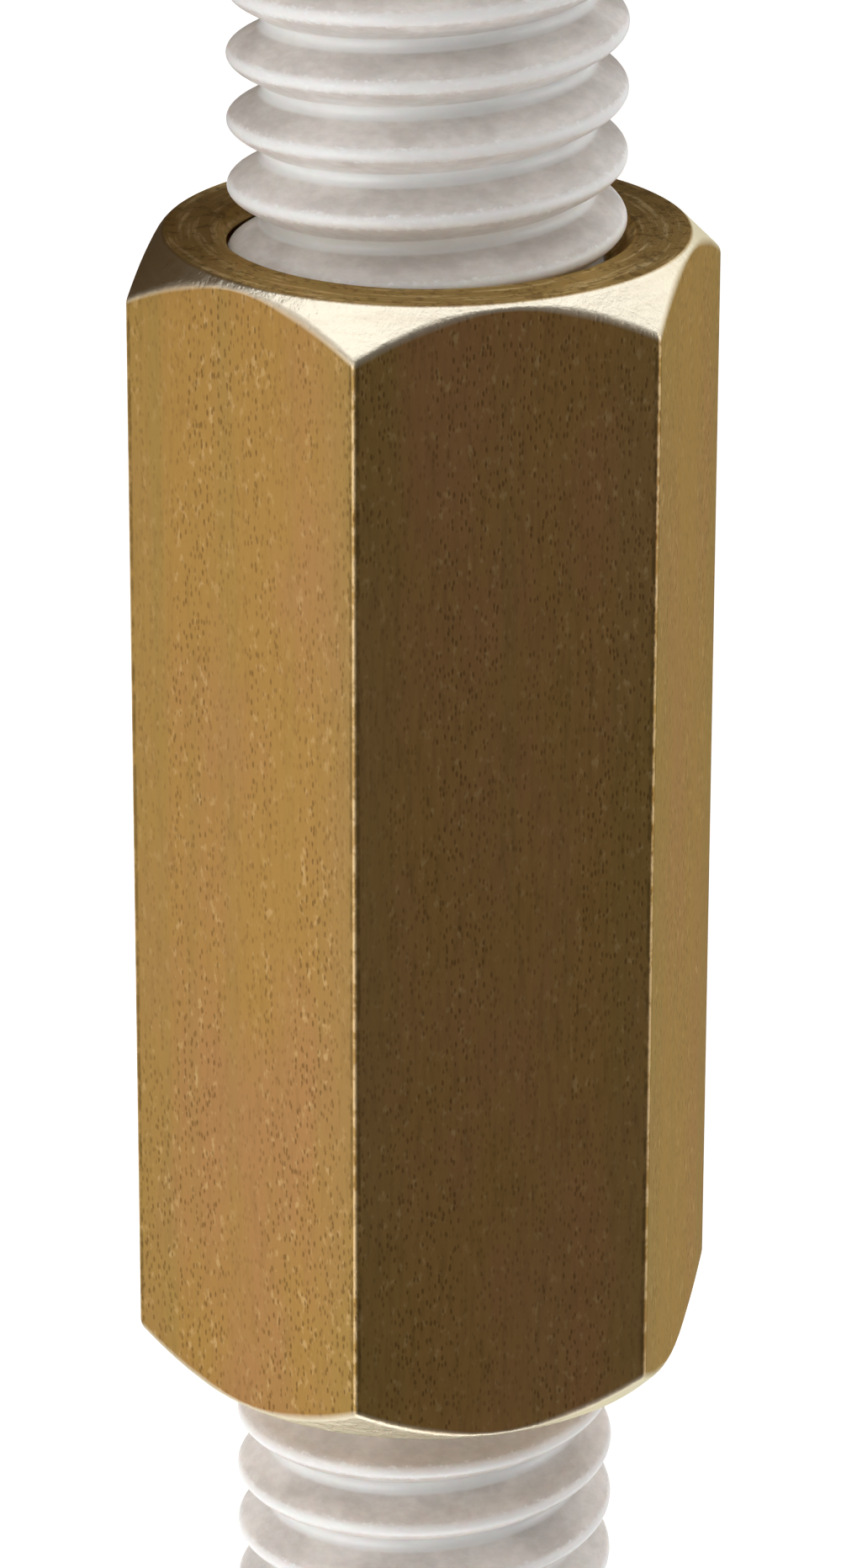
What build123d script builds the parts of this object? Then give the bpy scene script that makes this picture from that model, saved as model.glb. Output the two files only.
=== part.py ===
from build123d import *
from math import ceil, floor, radians, sqrt, tan
import os

# Threaded coupling: a long hexagonal coupling nut, tapped right through, with a
# threaded rod screwed into each end until the two rods butt at its middle.
# Millimetres. It lies on one flat of the hexagon, with the rods along Y, the
# upper rod towards +Y, and the origin under the middle of that flat.

# Nut
across_flats = 12.7
nut_length = 28.575
chamfer_inset = 0.125        # end chamfer's circle inside the flats, all round
chamfer_angle = 45           # between the end chamfer's slope and the end face
countersink_margin = 0.1     # countersink's mouth outside the thread's groove, all round
countersink_angle = 45       # between the countersink's slope and the end face

# Right-hand thread, 3/8 in with 16 turns to the inch
nominal_diameter = 9.525
thread_pitch = 1.5875
flank_angle = 30             # between each flank and the plane across the axis
thread_start = 275           # turn of every thread about the axis, in degrees
flank_allowance = 0.12       # off the rods' pitch diameter, and on to the nut's
crest_allowance = 0.125      # off the rods' crest diameter, and on to the nut's groove
root_allowance = 0.19        # off the rods' root diameter, and on to the nut's bore

# Rods
rod_length = 31.75
rod_end_land = 0.1           # height of thread that the end chamfers leave

# Worked out from the sizes above
axis_height = across_flats / 2
across_corners = 2 * across_flats / sqrt(3)
half_length = nut_length / 2
sharp_height = thread_pitch / (2 * tan(radians(flank_angle)))
basic_pitch_diameter = nominal_diameter - sharp_height * 3 / 4
rod_crest_diameter = nominal_diameter - crest_allowance
rod_root_diameter = nominal_diameter - sharp_height * 17 / 12 - root_allowance
bore_groove_diameter = nominal_diameter + crest_allowance
bore_crest_diameter = nominal_diameter - sharp_height * 5 / 4 + root_allowance

# Room for the solids that only shape others
sink = 0.1                   # a thread's ridge runs this far into the core that carries it
blank_margin = 0.5           # a turning blank runs this far past what it is trimmed to

# The axis of every turned and threaded shape, with local Z along the row's +Y
axis_plane = Plane(origin=(0, 0, axis_height), x_dir=(1, 0, 0), z_dir=(0, 1, 0))
centre_line = Axis((0, 0, axis_height), (0, 1, 0))
section_plane = Plane(origin=(0, 0, axis_height), x_dir=(1, 0, 0), z_dir=(0, 0, 1))


def ridge_width(diameter, pitch_diameter):
    """Axial width of a V-shaped ridge where it has this diameter."""
    return thread_pitch / 2 + (pitch_diameter - diameter) * tan(radians(flank_angle))


def helical_ridge(low_diameter, high_diameter, pitch_diameter, start, end):
    """A flat-topped V ridge, made turn by turn, that winds past both start and end."""
    profile = ((low_diameter, -1), (high_diameter, -1), (high_diameter, 1), (low_diameter, 1))
    first_turn = floor(start / thread_pitch) - 1
    last_turn = ceil(end / thread_pitch)
    faces = []
    for turn in range(first_turn, last_turn + 1):
        edges = []
        for diameter, side in profile:
            height = turn * thread_pitch + side * ridge_width(diameter, pitch_diameter) / 2
            helix = Edge.make_helix(thread_pitch, thread_pitch, diameter / 2)
            edges.append(helix.moved(Location((0, 0, height), (0, 0, thread_start))))
        faces += [Face.make_surface_from_curves(edge, edges[i - 1]) for i, edge in enumerate(edges)]
        if turn == first_turn:
            faces.append(Face(Wire.make_polygon([edge @ 0 for edge in edges], close=True)))
        if turn == last_turn:
            faces.append(Face(Wire.make_polygon([edge @ 1 for edge in edges], close=True)))
    return Solid(Shell(faces)).moved(axis_plane.location)


def threaded_rod(start, end):
    """A rod threaded from end to end, with both ends of the thread chamfered."""
    end_radius = rod_root_diameter / 2 + rod_end_land
    blank_radius = rod_crest_diameter / 2 + blank_margin
    run_in = blank_radius - end_radius
    with BuildPart() as rod:
        # A blank that only the two end chamfers cut, wider than the thread between them
        with BuildSketch(section_plane):
            with BuildLine():
                Polyline(
                    (0, start),
                    (end_radius, start),
                    (blank_radius, start + run_in),
                    (blank_radius, end - run_in),
                    (end_radius, end),
                    (0, end),
                    close=True,
                )
            make_face()
        revolve(axis=centre_line)
        ridge = helical_ridge(
            rod_root_diameter - 2 * sink,
            rod_crest_diameter,
            basic_pitch_diameter - flank_allowance,
            start,
            end,
        )
        add(ridge, mode=Mode.INTERSECT)
        with BuildSketch(axis_plane.offset(start)):
            Circle(rod_root_diameter / 2)
        extrude(amount=end - start)
    return rod.part


# What the tap takes out of the nut: the bore, and the groove wound round it
with BuildPart() as tapped_hole:
    with BuildSketch(axis_plane.offset(-half_length - blank_margin)):
        Circle(bore_crest_diameter / 2)
    extrude(amount=nut_length + 2 * blank_margin)
    groove = helical_ridge(
        bore_crest_diameter - 2 * sink,
        bore_groove_diameter,
        basic_pitch_diameter + flank_allowance,
        -half_length,
        half_length,
    )
    add(groove)

with BuildPart() as coupling_nut:
    with BuildSketch(axis_plane.offset(-half_length)):
        RegularPolygon(across_flats / 2, 6, major_radius=False)
    extrude(amount=nut_length)
    add(tapped_hole.part, mode=Mode.SUBTRACT)

    # The corners are turned off at both ends
    corner = across_corners / 2
    chamfer_radius = across_flats / 2 - chamfer_inset
    corner_drop = (corner - chamfer_radius) * tan(radians(chamfer_angle))
    with BuildSketch(section_plane):
        with BuildLine():
            Polyline(
                (0, -half_length),
                (chamfer_radius, -half_length),
                (corner, corner_drop - half_length),
                (corner, half_length - corner_drop),
                (chamfer_radius, half_length),
                (0, half_length),
                close=True,
            )
        make_face()
    revolve(axis=centre_line, mode=Mode.INTERSECT)

    # Each mouth is countersunk
    mouth = bore_groove_diameter / 2 + countersink_margin
    mouth_depth = mouth * tan(radians(countersink_angle))
    for side in (-1, 1):
        with BuildSketch(section_plane):
            with BuildLine():
                Polyline(
                    (0, side * half_length),
                    (mouth, side * half_length),
                    (0, side * (half_length - mouth_depth)),
                    close=True,
                )
            make_face()
        revolve(axis=centre_line, mode=Mode.SUBTRACT)

upper_rod = threaded_rod(0, rod_length)
lower_rod = threaded_rod(-rod_length, 0)

coupling_nut.part.label = "coupling_nut"
upper_rod.label = "upper_rod"
lower_rod.label = "lower_rod"

os.makedirs("parts", exist_ok=True)
for piece in (coupling_nut.part, upper_rod, lower_rod):
    export_step(piece, f"parts/{piece.label}.step")
    print(piece.label, "volume", round(piece.volume, 2), "valid", piece.is_valid)
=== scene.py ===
import bpy
import bmesh
import math
import numpy as np
from mathutils import Matrix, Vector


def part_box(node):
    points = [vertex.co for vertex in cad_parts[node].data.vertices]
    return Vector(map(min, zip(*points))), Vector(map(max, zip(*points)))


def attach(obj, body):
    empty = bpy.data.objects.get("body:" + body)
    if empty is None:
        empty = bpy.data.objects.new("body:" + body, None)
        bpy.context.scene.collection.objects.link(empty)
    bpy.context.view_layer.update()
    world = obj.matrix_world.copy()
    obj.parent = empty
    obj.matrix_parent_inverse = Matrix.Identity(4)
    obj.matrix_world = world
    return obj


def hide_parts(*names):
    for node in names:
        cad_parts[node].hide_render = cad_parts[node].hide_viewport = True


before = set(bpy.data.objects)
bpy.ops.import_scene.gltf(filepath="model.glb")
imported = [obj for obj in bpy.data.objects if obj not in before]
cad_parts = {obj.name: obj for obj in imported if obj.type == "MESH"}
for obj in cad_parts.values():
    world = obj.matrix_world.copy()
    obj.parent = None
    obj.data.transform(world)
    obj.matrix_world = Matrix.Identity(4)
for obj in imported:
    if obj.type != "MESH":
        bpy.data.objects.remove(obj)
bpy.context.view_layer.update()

scene = bpy.context.scene
scene.view_settings.view_transform = "Standard"

nutLow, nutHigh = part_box("coupling_nut")
axisHeight = (nutLow.z + nutHigh.z) / 2      # the common axis lies along Y at this height
acrossFlats = nutHigh.z - nutLow.z
halfNut = (nutHigh.y - nutLow.y) / 2
millimetre = 0.001
weldDistance = 0.0002 * millimetre           # points of a mesh nearer than this are one point

# The right-hand thread that both rods and the nut share, rounded as rolling leaves it
thread = {
    "pitch": 1.5875 * millimetre,
    "start": math.radians(275),              # turn of the crest that crosses y = 0
    "flank": math.radians(30),
    "rodPitchRadius": 4.36 * millimetre,
    "rodRootRadius": 3.88 * millimetre,
    "play": 0.12 * millimetre,               # between the rods' thread and the nut's
    "crestBlend": 0.34 * millimetre,
    "rootBlend": 0.06 * millimetre,
    "rowsPerTurn": 22,
}


def softMin(a, b, blend):
    # the smaller of two values, with a rounded change-over as wide as blend
    h = np.clip(0.5 + 0.5 * (b - a) / blend, 0, 1)
    return b * (1 - h) + a * h - blend * h * (1 - h)


def softMax(a, b, blend):
    return -softMin(-a, -b, blend)


def gridFaces(rows, columns, wrapShift=0):
    # quads between neighbouring rows and columns; the last column meets the first, wrapShift rows on
    row, column = np.meshgrid(np.arange(rows - 1), np.arange(columns), indexing="ij")
    nextColumn = (column + 1) % columns
    nextRow = row + np.where(column == columns - 1, wrapShift, 0)
    keep = nextRow < rows - 1
    faces = np.stack([
        row * columns + column,
        np.minimum(nextRow, rows - 1) * columns + nextColumn,
        np.minimum(nextRow + 1, rows - 1) * columns + nextColumn,
        (row + 1) * columns + column,
    ], axis=-1)
    return faces[keep]


def aroundAxis(radius, angle, along):
    # radius and angle about the axis, and distance along it, as points in the row frame
    return np.stack([radius * np.cos(angle), along, axisHeight - radius * np.sin(angle)], axis=-1)


def buildPiece(name, grids, attributes=()):
    # joins point grids into one closed mesh: merges what coincides and points every face outwards
    points, faces, marks, first = [], [], [], 0
    for grid in grids:
        rows, columns = grid["points"].shape[:2]
        points.append(grid["points"].reshape(-1, 3))
        faces.append(gridFaces(rows, columns, grid.get("wrapShift", 0)) + first)
        marks.append(np.stack([np.broadcast_to(grid.get(key, 0.0), (rows, columns)).ravel()
                               for key in attributes], axis=-1))
        first += rows * columns
    points, faces, marks = np.concatenate(points), np.concatenate(faces), np.concatenate(marks)
    mesh = bpy.data.meshes.new(name)
    mesh.from_pydata(points.tolist(), [], faces.tolist())
    for i, key in enumerate(attributes):
        mesh.attributes.new(key, "FLOAT", "POINT").data.foreach_set("value", marks[:, i].astype(np.float32))
    work = bmesh.new()
    work.from_mesh(mesh)
    bmesh.ops.remove_doubles(work, verts=work.verts, dist=weldDistance)
    bmesh.ops.dissolve_degenerate(work, edges=work.edges, dist=weldDistance / 2)
    bmesh.ops.recalc_face_normals(work, faces=work.faces)
    openEdges = sum(1 for edge in work.edges if len(edge.link_faces) != 2)
    work.to_mesh(mesh)
    work.free()
    mesh.shade_smooth()
    piece = bpy.data.objects.new(name, mesh)
    scene.collection.objects.link(piece)
    triangles = sum(len(p.vertices) - 2 for p in mesh.polygons)
    print(name, "triangles", triangles, "open edges", openEdges)
    return piece


def threadRows(low, high):
    # row values for a helical grid that runs past both ends
    perTurn = thread["rowsPerTurn"]
    first = math.floor(low / thread["pitch"] - 2.5) * perTurn
    last = math.ceil(high / thread["pitch"] + 2.5) * perTurn
    return np.arange(first, last + 1) / perTurn


def threadRadius(turns, crest, play):
    # a V wave: a slope of one flank angle falls away from each whole turn, rounded off at root and at crest
    away = np.abs(turns - np.round(turns)) * thread["pitch"]
    flank = thread["rodPitchRadius"] + (thread["pitch"] / 4 - away) / math.tan(thread["flank"])
    rooted = softMax(flank, thread["rodRootRadius"], thread["rootBlend"])
    return play + softMin(rooted, crest, thread["crestBlend"])


def threadGrid(low, high, angles, crest, play, atEnds):
    # rows follow the helix: distance along = pitch * (row + turn of the angle); both ends are cut square
    turns = threadRows(low, high)[:, None]
    along = thread["pitch"] * (turns + (angles - thread["start"]) / (2 * math.pi))
    radius = threadRadius(turns + 0 * along, crest, play)
    along = np.clip(along, low, high)
    return along, atEnds(radius, along)


rod = {
    "columns": 176,
    "endRadius": 3.80 * millimetre,
    "endBlend": 0.12 * millimetre,
    "capRings": 14,
}


def makeRod(name, node):
    low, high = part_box(node)
    crest = (high.x - low.x) / 2
    angles = np.arange(rod["columns"]) * 2 * math.pi / rod["columns"]

    def chamfered(radius, along):
        # a 45 degree cone at each end takes the thread down to the end's radius
        cone = rod["endRadius"] + np.minimum(along - low.y, high.y - along)
        inner = softMin(radius, cone, rod["endBlend"])
        return np.where((along <= low.y) | (along >= high.y), rod["endRadius"], np.minimum(inner, crest))

    along, radius = threadGrid(low.y, high.y, angles, crest, 0, chamfered)
    body = {"points": aroundAxis(radius, angles + 0 * along, along), "wrapShift": thread["rowsPerTurn"],
            "height": (radius - thread["rodRootRadius"]) / (crest - thread["rodRootRadius"])}
    caps = []
    for end in (low.y, high.y):
        share = np.linspace(1, 0, rod["capRings"])[:, None]
        capRadius = rod["endRadius"] * share + 0 * angles
        caps.append({"points": aroundAxis(capRadius, angles + 0 * capRadius, end + 0 * capRadius)})
    piece = buildPiece(name, [body] + caps, ("height",))
    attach(piece, "root")
    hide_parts(node)
    return piece


nut = {
    "chamferInset": 0.125 * millimetre,      # chamfer's circle on the end face, inside the flats
    "cornerRadius": 0.13 * millimetre,
    "edgeRadius": 0.06 * millimetre,         # where a chamfer meets the end face
    "shoulderRadius": 0.15 * millimetre,     # where it meets the flats
    "mouthRadius": 4.925 * millimetre,
    "grooveRadius": 4.70 * millimetre,       # of the tapped thread, before its play
    "mouthBlend": 0.05 * millimetre,
    "cornerColumns": 7,
    "flatColumns": 24,
    "flatRows": 46,
    "endRings": 10,
    "coneRows": 8,
    "bendSteps": 5,                          # points round each rounded edge
}


def hexagonOutline():
    # six short arcs joined by flats, as points about the axis, and how far across its flat each lies: 0 in
    # the middle, 1 where the arc starts and 1.1 at the corner itself
    apothem, radius = acrossFlats / 2, nut["cornerRadius"]
    spread = np.sin(np.linspace(-math.pi / 2, math.pi / 2, nut["flatColumns"]))[1:-1] / 2 + 0.5
    outline, across = [], []
    centres = (apothem - radius) / math.cos(math.pi / 6)
    arcTurn = np.linspace(-math.pi / 6, math.pi / 6, nut["cornerColumns"])
    for corner in range(6):
        turn, after = corner * math.pi / 3, (corner + 1) * math.pi / 3
        arc = centres * np.array([math.cos(turn), math.sin(turn)]) + radius * np.stack(
            [np.cos(turn + arcTurn), np.sin(turn + arcTurn)], axis=-1)
        nextStart = centres * np.array([math.cos(after), math.sin(after)]) + radius * np.array(
            [math.cos(after - math.pi / 6), math.sin(after - math.pi / 6)])
        flat = arc[-1] + spread[:, None] * (nextStart - arc[-1])
        outline += [arc, flat]
        across += [1 + 0.1 * np.cos(arcTurn * 3), np.abs(2 * spread - 1)]
    return np.concatenate(outline), np.concatenate(across)


def roundedPath(corners, sizes, steps):
    # corners: (corner, column, 2); each inner corner becomes a short curve that starts its size before it
    path = [corners[0]]
    for i in range(1, len(corners) - 1):
        back, ahead = corners[i - 1] - corners[i], corners[i + 1] - corners[i]
        backLength = np.linalg.norm(back, axis=-1, keepdims=True)
        aheadLength = np.linalg.norm(ahead, axis=-1, keepdims=True)
        size = np.minimum(sizes[i - 1], 0.35 * np.minimum(backLength, aheadLength))
        start, stop = corners[i] + back / backLength * size, corners[i] + ahead / aheadLength * size
        for t in np.linspace(0, 1, steps):
            path.append((1 - t) ** 2 * start + 2 * t * (1 - t) * corners[i] + t ** 2 * stop)
    path.append(corners[-1])
    return np.array(path)


def makeNut():
    outline, across = hexagonOutline()
    order = np.argsort(np.arctan2(outline[:, 1], outline[:, 0]) % (2 * math.pi))
    outline, across = outline[order], across[order]
    angles = np.arctan2(outline[:, 1], outline[:, 0]) % (2 * math.pi)
    reach = np.hypot(outline[:, 0], outline[:, 1])
    chamferRadius = acrossFlats / 2 - nut["chamferInset"]
    coneEnd = halfNut - (reach - chamferRadius)    # a 45 degree cone meets the hexagon here
    same = np.ones_like(reach)

    def station(radius, along):
        return np.stack([radius * same, along * same], axis=-1)

    # from one mouth, over the end face, the cone, the flat, and back the same way at the other end
    corners = np.array([
        station(nut["mouthRadius"], halfNut), station(chamferRadius, halfNut), station(reach, coneEnd),
        station(reach, -coneEnd), station(chamferRadius, -halfNut), station(nut["mouthRadius"], -halfNut)])
    steps = nut["bendSteps"]
    edge, shoulder = nut["edgeRadius"], nut["shoulderRadius"]
    path = roundedPath(corners, [edge, shoulder, shoulder, edge], steps)
    zones = [("end", nut["endRings"]), ("cone", nut["coneRows"]), ("flat", nut["flatRows"]),
             ("cone", nut["coneRows"]), ("end", nut["endRings"])]
    rows, cone, end = [path[0]], [0.0], [1.0]
    at = 0
    for index, (zone, count) in enumerate(zones):
        start, stop = path[at], path[at + 1]
        for t in np.linspace(0, 1, count + 1)[1:]:
            rows.append(start + t * (stop - start))
            cone.append(float(zone == "cone"))
            end.append(float(zone == "end"))
        at += 1
        if index < len(zones) - 1:
            following = zones[index + 1][0]
            for k in range(1, steps):
                mixed = k / (steps - 1)
                rows.append(path[at + k])
                cone.append((zone == "cone") * (1 - mixed) + (following == "cone") * mixed)
                end.append((zone == "end") * (1 - mixed) + (following == "end") * mixed)
            at += steps - 1
    rows = np.array(rows)
    outside = {"points": aroundAxis(rows[..., 0], angles + 0 * rows[..., 0], rows[..., 1]),
               "cone": np.array(cone)[:, None], "end": np.array(end)[:, None], "across": across}

    def countersunk(radius, along):
        # the bore's thread, opened out by a 45 degree countersink at each mouth
        sink = nut["mouthRadius"] - np.minimum(along + halfNut, halfNut - along)
        opened = softMax(radius, sink, nut["mouthBlend"])
        return np.where(np.abs(along) >= halfNut, nut["mouthRadius"], opened)

    along, radius = threadGrid(-halfNut, halfNut, angles, nut["grooveRadius"], thread["play"], countersunk)
    bore = {"points": aroundAxis(radius, angles + 0 * along, along), "wrapShift": thread["rowsPerTurn"],
            "end": 1.0}
    piece = buildPiece("couplingNut", [outside, bore], ("cone", "end", "across"))
    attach(piece, "root")
    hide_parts("coupling_nut")
    return piece


class Socket:
    # a node's output that can be added, scaled and compared in plain expressions
    def __init__(self, owner, output):
        self.owner, self.output = owner, output

    def calc(self, operation, *others):
        return self.owner.node("ShaderNodeMath", {"operation": operation}, dict(enumerate(others)))

    def __add__(self, other):
        return self.calc("ADD", self, other)

    def __radd__(self, other):
        return self.calc("ADD", other, self)

    def __sub__(self, other):
        return self.calc("SUBTRACT", self, other)

    def __rsub__(self, other):
        return self.calc("SUBTRACT", other, self)

    def __mul__(self, other):
        return self.calc("MULTIPLY", self, other)

    def __rmul__(self, other):
        return self.calc("MULTIPLY", other, self)

    def __pow__(self, other):
        return self.calc("POWER", self, other)

    def between(self, low, high):
        # 0 below low and 1 above high, or the other way round where low is the larger
        return self.owner.node("ShaderNodeMapRange", {"interpolation_type": "SMOOTHSTEP"},
                               {"Value": self, "From Min": low, "From Max": high})


class Finish:
    # the nodes of one material or of the world, with a method that makes any node
    def __init__(self, holder):
        self.holder = holder
        holder.use_nodes = True
        self.tree = holder.node_tree
        self.tree.nodes.clear()

    def node(self, kind, settings=None, inputs=None, output=0):
        made = self.tree.nodes.new(kind)
        for key, value in (settings or {}).items():
            setattr(made, key, value)
        for key, value in (inputs or {}).items():
            if isinstance(value, Socket):
                self.tree.links.new(value.output, made.inputs[key])
            else:
                made.inputs[key].default_value = value
        return Socket(self, made.outputs[output]) if made.outputs else None

    def place(self, x=1.0, y=1.0, z=1.0):
        # the point on the object, stretched along each axis
        point = self.node("ShaderNodeTexCoord", output="Object")
        return self.node("ShaderNodeVectorMath", {"operation": "MULTIPLY"}, {0: point, 1: (x, y, z)})

    def part(self, vector, axis):
        return self.node("ShaderNodeSeparateXYZ", inputs={"Vector": vector}, output=axis)

    def mix(self, factor, first, second):
        # colours by a factor; sockets 6 and 7 of a Mix node are its two colours, and output 2 the mixed one
        plain = [c if isinstance(c, Socket) else (*c, 1) for c in (first, second)]
        return self.node("ShaderNodeMix", {"data_type": "RGBA"}, {0: factor, 6: plain[0], 7: plain[1]}, 2)

    def noise(self, where, detail=3.0, roughness=0.55):
        return self.node("ShaderNodeTexNoise", inputs={
            "Vector": where, "Scale": 1.0, "Detail": detail, "Roughness": roughness})

    def mark(self, name):
        return self.node("ShaderNodeAttribute", {"attribute_name": name}, output="Fac")

    def bump(self, height, strength, distance):
        return self.node("ShaderNodeBump", inputs={
            "Height": height, "Strength": strength, "Distance": distance})

    def lightPath(self, name):
        return self.node("ShaderNodeLightPath", output=name)

    def close(self, shader, output="ShaderNodeOutputMaterial"):
        self.node(output, inputs={"Surface": shader})
        return self.holder


plating = {
    "gold": (0.325, 0.185, 0.053),
    "rose": (0.335, 0.165, 0.078),
    "olive": (0.255, 0.180, 0.054),
    "fleck": (0.48, 0.32, 0.14),
    "pit": (0.13, 0.065, 0.020),
    "pitShare": 0.66,
    "turned": (0.88, 0.81, 0.66),            # the end chamfers
    "endFace": (0.55, 0.37, 0.145),
    "ring": (0.95, 0.76, 0.42),
    "cornerLine": (0.09, 0.055, 0.018),
    # painted highlight: the bright line along each corner's arc
    "paintedCornerHighlight": (0.72, 0.56, 0.34),
    "grazing": (0.60, 0.58, 0.43),           # tint where a surface is seen almost edge on
    "roughness": 0.38,
    "bumpStrength": 0.35,
    "bumpDepth": 0.012 * millimetre,
    # how closely each pattern is packed along x, y and z, in features to the metre
    "cloudScale": (260, 90, 260),
    "bandScale": (1300, 30, 1300),
    "grainScale": (7000, 700, 7000),
    "fleckScale": (5200, 2600, 5200),
    "pitScale": (10200, 4600, 10200),
    "streakScale": (900, 60, 900),
    "tornScale": (3400, 3400, 3400),
    "raggedScale": (1600, 1600, 1600),
    "ringScale": 5200,                       # turning marks, outwards from the axis
    "ringWander": 420,                       # and how soon they change on the way round
}


def platedSteel():
    # yellow passivated plating on drawn hexagon bar: lengthwise grain, clouds of tint, short pits, and
    # bright turned cones; the tint is a chain of mixes, each by a mask worked out from noise or a mark
    f = Finish(bpy.data.materials.new("yellowPlating"))
    across, cone, end = f.mark("across"), f.mark("cone"), f.mark("end")
    clouds = f.noise(f.place(*plating["cloudScale"]), 4, 0.6)
    bands = f.noise(f.place(*plating["bandScale"]), 3, 0.5)
    grain = f.noise(f.place(*plating["grainScale"]), 3, 0.6)
    flecks = f.noise(f.place(*plating["fleckScale"]), 2, 0.6)
    # pits lie close together along some lengthwise streaks and leave others clear: pit = middle of a cell
    # * that cell's own luck * (0.35 + 0.65 * streak)
    cell = {"Vector": f.place(*plating["pitScale"]), "Scale": 1.0}
    depth = f.node("ShaderNodeTexVoronoi", inputs=cell, output="Distance")
    luck = f.part(f.node("ShaderNodeTexVoronoi", inputs=cell, output="Color"), "X")
    streaks = f.noise(f.place(*plating["streakScale"]), 3, 0.55).between(0.36, 0.60)
    pits = depth.between(0.50, 0.22) * luck.between(0.18, 0.62) * (0.35 + streaks * 0.65)

    tint = f.mix(clouds.between(0.40, 0.66) * 0.55, plating["gold"], plating["rose"])
    tint = f.mix(bands.between(0.48, 0.72) * 0.35, tint, plating["olive"])
    tint = f.mix(across.between(0.55, 0.95) * 0.35, tint, plating["olive"])
    tint = f.mix(grain.between(0.55, 0.25) * 0.18, tint, plating["pit"])
    tint = f.mix(flecks.between(0.56, 0.72) * (0.2 + streaks * 0.4), tint, plating["fleck"])
    tint = f.mix(pits * plating["pitShare"], tint, plating["pit"])

    # turning marks follow the distance from the axis
    place = f.place()
    x, z = f.part(place, "X"), f.part(place, "Z") - axisHeight
    fromAxis = (x * x + z * z) ** 0.5
    wander = plating["ringWander"]
    ringPlace = f.node("ShaderNodeCombineXYZ", inputs={
        "X": fromAxis * plating["ringScale"], "Y": x * wander, "Z": z * wander})
    rings = f.noise(ringPlace, 4, 0.65)
    torn = f.noise(f.place(*plating["tornScale"]), 4, 0.7)
    endTint = f.mix(rings.between(0.48, 0.70) * (0.4 + torn * 1.0), plating["endFace"], plating["ring"])
    endTint = f.mix(torn.between(0.50, 0.36) * 0.5, endTint, plating["pit"])
    coneTint = f.mix(rings.between(0.45, 0.8) * 0.12, plating["turned"], plating["gold"])

    # along each corner, a ragged dark line on both sides of a bright one, which is a painted highlight on
    # the corner's arc
    ragged = f.noise(f.place(*plating["raggedScale"]), 3, 0.7)
    beside = across.between(0.972, 0.992) * across.between(1.04, 1.0)
    cornerHighlightMask = across.between(1.02, 1.06) * 0.4
    tint = f.mix(beside * ragged.between(0.36, 0.56) * 0.6, tint, plating["cornerLine"])
    tint = f.mix(cornerHighlightMask * ragged.between(0.60, 0.42), tint, plating["paintedCornerHighlight"])
    tint = f.mix(cone, tint, coneTint)
    tint = f.mix(end, tint, endTint)

    # heights in shares of bumpDepth: grain, pits and flecks on the flats, turning marks at the ends
    height = grain * 0.5 - pits * 0.8 + flecks * 0.6
    height = height + rings * (cone * 0.8 + end * 3.0) + torn * (cone * 9.0 + end * 3.0)
    return f.close(f.node("ShaderNodeBsdfPrincipled", inputs={
        "Base Color": tint,
        "Metallic": 1.0,
        "Roughness": plating["roughness"] + grain * 0.10 + clouds * 0.06 - cone * 0.16,
        "Specular Tint": (*plating["grazing"], 1),
        "Normal": f.bump(height, plating["bumpStrength"], plating["bumpDepth"]),
    }))


nylon = {
    "pale": (0.87, 0.82, 0.775),
    "grey": (0.58, 0.53, 0.49),
    # near white: the painted highlight on the crests and roots, and the scuffs just below the crests
    "crest": (0.98, 0.97, 0.955),
    "roughness": 0.34,
    "coat": 0.25,                            # share of the surface under a clear skin
    "coatRoughness": 0.18,
    "milkiness": 0.25,
    "milkDepth": 0.6 * millimetre,           # how far light spreads inside
    "bumpStrength": 0.25,
    "bumpDepth": 0.02 * millimetre,
    "cloudScale": (420, 420, 420),           # features to the metre, as above
    "chatterScale": (2600, 6200, 2600),
    "scuffScale": (5200, 9000, 5200),
}


def milkyNylon():
    # milky rod stock: patchily grey, with a painted highlight whitening the crests and a thinner one along
    # the roots, greyer on the flanks between,
    #     and a fine chatter along the turns; height is 0 at the root and 1 at the crest
    f = Finish(bpy.data.materials.new("milkyNylon"))
    height = f.mark("height")
    clouds = f.noise(f.place(*nylon["cloudScale"]), 4, 0.6)
    chatter = f.noise(f.place(*nylon["chatterScale"]), 3, 0.65)
    scuffs = f.noise(f.place(*nylon["scuffScale"]), 3, 0.7)
    greyness = clouds.between(0.38, 0.62) * 0.5 + chatter.between(0.35, 0.65) * 0.25
    tint = f.mix(greyness, nylon["pale"], nylon["grey"])
    # painted highlight along each crest, broken up by the chatter
    crestHighlight = height.between(0.90, 0.995)
    tint = f.mix(crestHighlight * (0.55 + chatter * 0.5), tint, nylon["crest"])
    tint = f.mix(height.between(0.86, 0.93) * scuffs.between(0.5, 0.66) * 0.7, tint, nylon["crest"])
    # painted highlight: a thin pale line along the root of the thread
    tint = f.mix(height.between(0.16, 0.04) * 0.7, tint, nylon["crest"])
    return f.close(f.node("ShaderNodeBsdfPrincipled", inputs={
        "Base Color": tint,
        "Roughness": nylon["roughness"] + chatter * 0.16,
        "Subsurface Weight": nylon["milkiness"],
        "Subsurface Scale": nylon["milkDepth"],
        "Coat Weight": nylon["coat"],
        "Coat Roughness": nylon["coatRoughness"],
        "Normal": f.bump(chatter + scuffs * 0.5, nylon["bumpStrength"], nylon["bumpDepth"]),
    }))


camera = {
    "elevation": math.radians(21.134),       # above the plane square to the rods
    "aside": math.radians(16.896),           # turned from the top flat towards -X
    "roll": math.radians(0.111),
    "distance": 12.8575 * acrossFlats,
    # where it points, sideways and along the rods from the nut's middle
    "aim": (-0.0102 * acrossFlats, 0.0226 * acrossFlats),
    "lens": 154.71,
    "clip": (0.005, 10),                     # nearest and furthest it sees, in metres
}


def placement(side, top, back, where):
    # a matrix with these three directions and this place as its columns
    columns = np.eye(4)
    columns[:3] = np.stack([side, top, back, where], axis=-1)
    return Matrix(columns.tolist())


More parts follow.
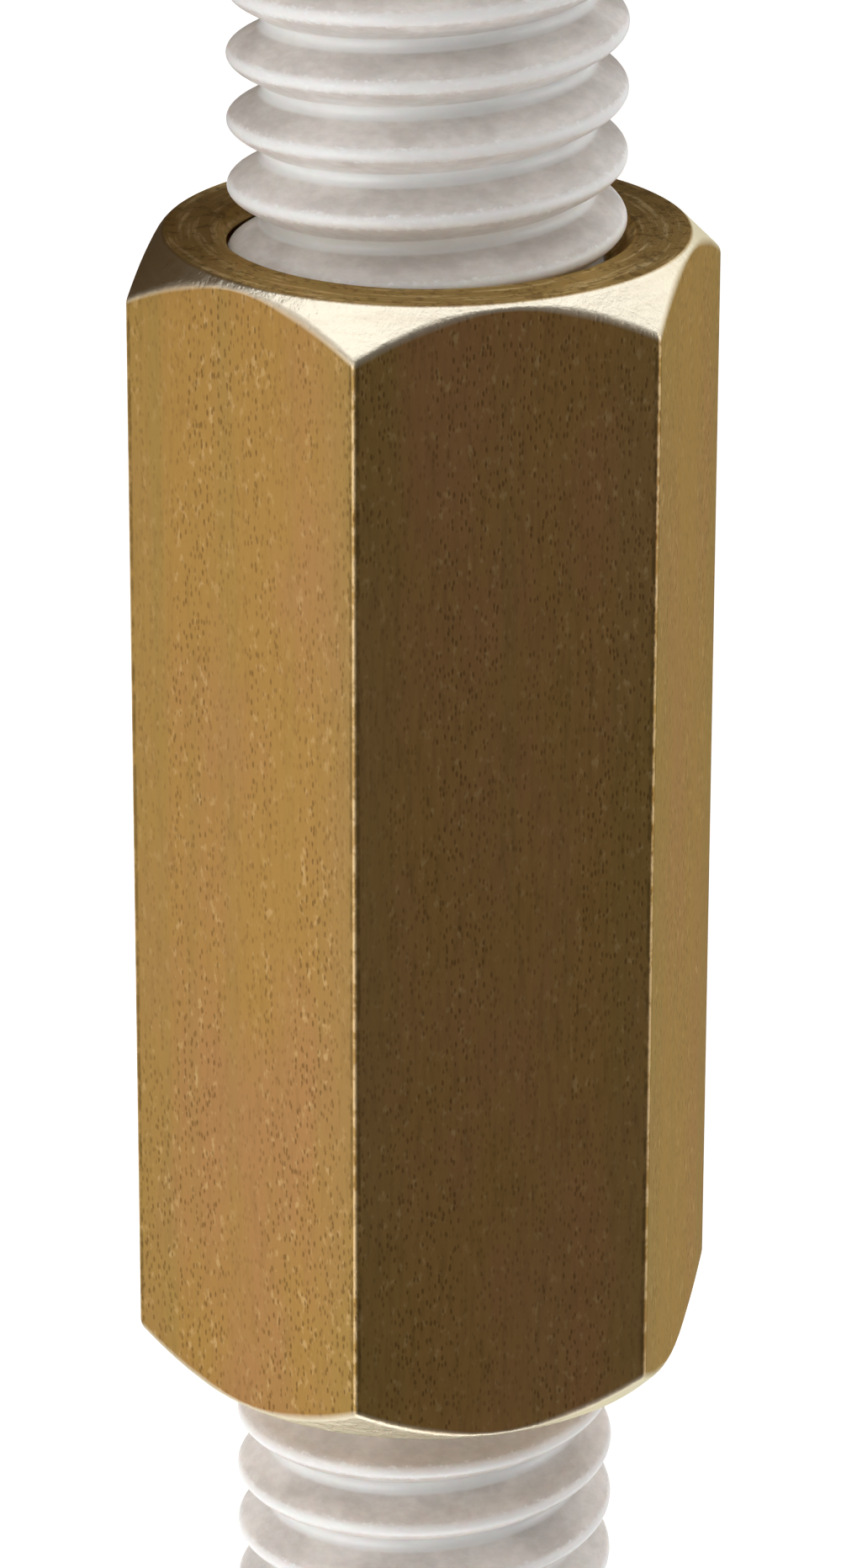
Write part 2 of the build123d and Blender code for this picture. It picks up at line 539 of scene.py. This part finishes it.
def makeCamera():
    up, aside, roll = camera["elevation"], camera["aside"], camera["roll"]
    right = np.array([math.cos(aside), 0, math.sin(aside)])
    level = np.array([-math.sin(aside), 0, math.cos(aside)])    # from the axis towards the camera
    along = np.array([0.0, 1, 0])
    back = level * math.cos(up) + along * math.sin(up)
    top = along * math.cos(up) - level * math.sin(up)
    side = math.cos(roll) * right + math.sin(roll) * top
    top = math.cos(roll) * top - math.sin(roll) * right
    aim = np.array([0, 0, axisHeight]) + camera["aim"][0] * right + camera["aim"][1] * along
    data = bpy.data.cameras.new("camera")
    data.lens = camera["lens"]
    data.clip_start, data.clip_end = camera["clip"]
    view = bpy.data.objects.new("camera", data)
    view.matrix_world = placement(side, top, back, aim + camera["distance"] * back)
    scene.collection.objects.link(view)
    scene.camera = view


lamps = {
    # position, width, height and radiance of each panel, which faces the nut
    "endPanel": ((-0.02, 0.30, 0.12), 0.66, 0.30, 0.65),
    "leftPanel": ((-0.33, -0.10, 0.18), 0.34, 0.30, 2.5),
    "rightPanel": ((0.34, -0.02, 0.17), 0.30, 0.26, 1.8),
    "nearPanel": ((-0.06, -0.40, 0.14), 0.34, 0.18, 2.5),
}


def makeLamps():
    target = np.array([0, 0, axisHeight])
    for name, (where, width, height, radiance) in lamps.items():
        data = bpy.data.lights.new(name, "AREA")
        data.shape, data.size, data.size_y = "RECTANGLE", width, height
        data.energy = radiance * math.pi * width * height    # watts for that radiance
        lamp = bpy.data.objects.new(name, data)
        back = np.array(where) - target
        back = back / np.linalg.norm(back)
        side = np.cross([0, 0, 1], back)
        side = side / np.linalg.norm(side)
        lamp.matrix_world = placement(side, np.cross(back, side), back, where)
        scene.collection.objects.link(lamp)


studio = {
    "floorColour": (0.80, 0.80, 0.80),
    "floorGlow": 0.72,                       # on top of the lamps' light, for the rays of seenRays
    "floorSize": 3.0,
    "horizon": 0.85,                         # world's strength low down
    "ceiling": 0.18,                         # and overhead
    "fade": (0.12, 0.62),                    # height of direction over which one becomes the other
}


def seenRays(f):
    # 1 for camera, glossy and transmitted rays, 0 for the rest
    seen = f.lightPath("Is Camera Ray") + f.lightPath("Is Glossy Ray") + f.lightPath("Is Transmission Ray")
    return seen.calc("MINIMUM", seen, 1.0)


def makeFloor():
    # plain paint that takes the shadow, and a glow on top for the rays that seenRays lets through
    f = Finish(bpy.data.materials.new("paleFloor"))
    paint = f.node("ShaderNodeBsdfDiffuse", inputs={"Color": (*studio["floorColour"], 1)})
    glow = f.node("ShaderNodeEmission", inputs={"Strength": seenRays(f) * studio["floorGlow"]})
    f.close(f.node("ShaderNodeAddShader", inputs={0: paint, 1: glow}))
    half = studio["floorSize"] / 2
    corners = [(-half, -half, 0), (half, -half, 0), (half, half, 0), (-half, half, 0)]
    mesh = bpy.data.meshes.new("floor")
    mesh.from_pydata(corners, [], [(0, 1, 2, 3)])
    mesh.materials.append(f.holder)
    floor = bpy.data.objects.new("floor", mesh)
    scene.collection.objects.link(floor)


# a dark card on the floor at the nut's upper end and beyond: painted shade, standing in for the shaded
# floor under the upper rod, for the end face and left shoulder to reflect
card = {
    # corners in metres, across and along the rods; on the -X side it starts nearer the nut's middle
    "outline": [(-0.040, 0.012), (-0.0045, 0.012), (-0.0045, 0.0146),
                (0.010, 0.0146), (0.010, 0.036), (-0.040, 0.036)],
    "height": 0.3 * millimetre,
    "colour": (0.12, 0.075, 0.032),
}


def makePaintedShadeCard():
    # painted shade seen only in reflection: metal alone sees it, so it casts nothing and stays out of the
    # picture
    f = Finish(bpy.data.materials.new("paintedShadeCard"))
    f.close(f.node("ShaderNodeBsdfDiffuse", inputs={"Color": (*card["colour"], 1)}))
    mesh = bpy.data.meshes.new("paintedShadeCard")
    corners = [(x, y, card["height"]) for x, y in card["outline"]]
    mesh.from_pydata(corners, [], [tuple(range(len(corners)))])
    mesh.materials.append(f.holder)
    sheet = bpy.data.objects.new("paintedShadeCard", mesh)
    sheet.visible_camera = sheet.visible_diffuse = sheet.visible_shadow = sheet.visible_transmission = False
    scene.collection.objects.link(sheet)


def makeWorld():
    # white where the camera looks; for everything else, light near the horizon and dim overhead
    f = Finish(bpy.data.worlds.new("studio"))
    rise = f.part(f.node("ShaderNodeTexCoord", output="Generated"), "Z")
    overhead = rise.between(*studio["fade"])
    glow = studio["horizon"] + overhead * (studio["ceiling"] - studio["horizon"])
    strength = glow + f.lightPath("Is Camera Ray") * (1.0 - glow)
    f.close(f.node("ShaderNodeBackground", inputs={"Strength": strength}), "ShaderNodeOutputWorld")
    scene.world = f.holder


# The part, then the studio round it
couplingNut = makeNut()
couplingNut.data.materials.append(platedSteel())
rodFinish = milkyNylon()
for name, node in (("upperRod", "upper_rod"), ("lowerRod", "lower_rod")):
    makeRod(name, node).data.materials.append(rodFinish)
print("part made")

makeCamera()
makeLamps()
makeFloor()
makePaintedShadeCard()
makeWorld()
print("studio made")
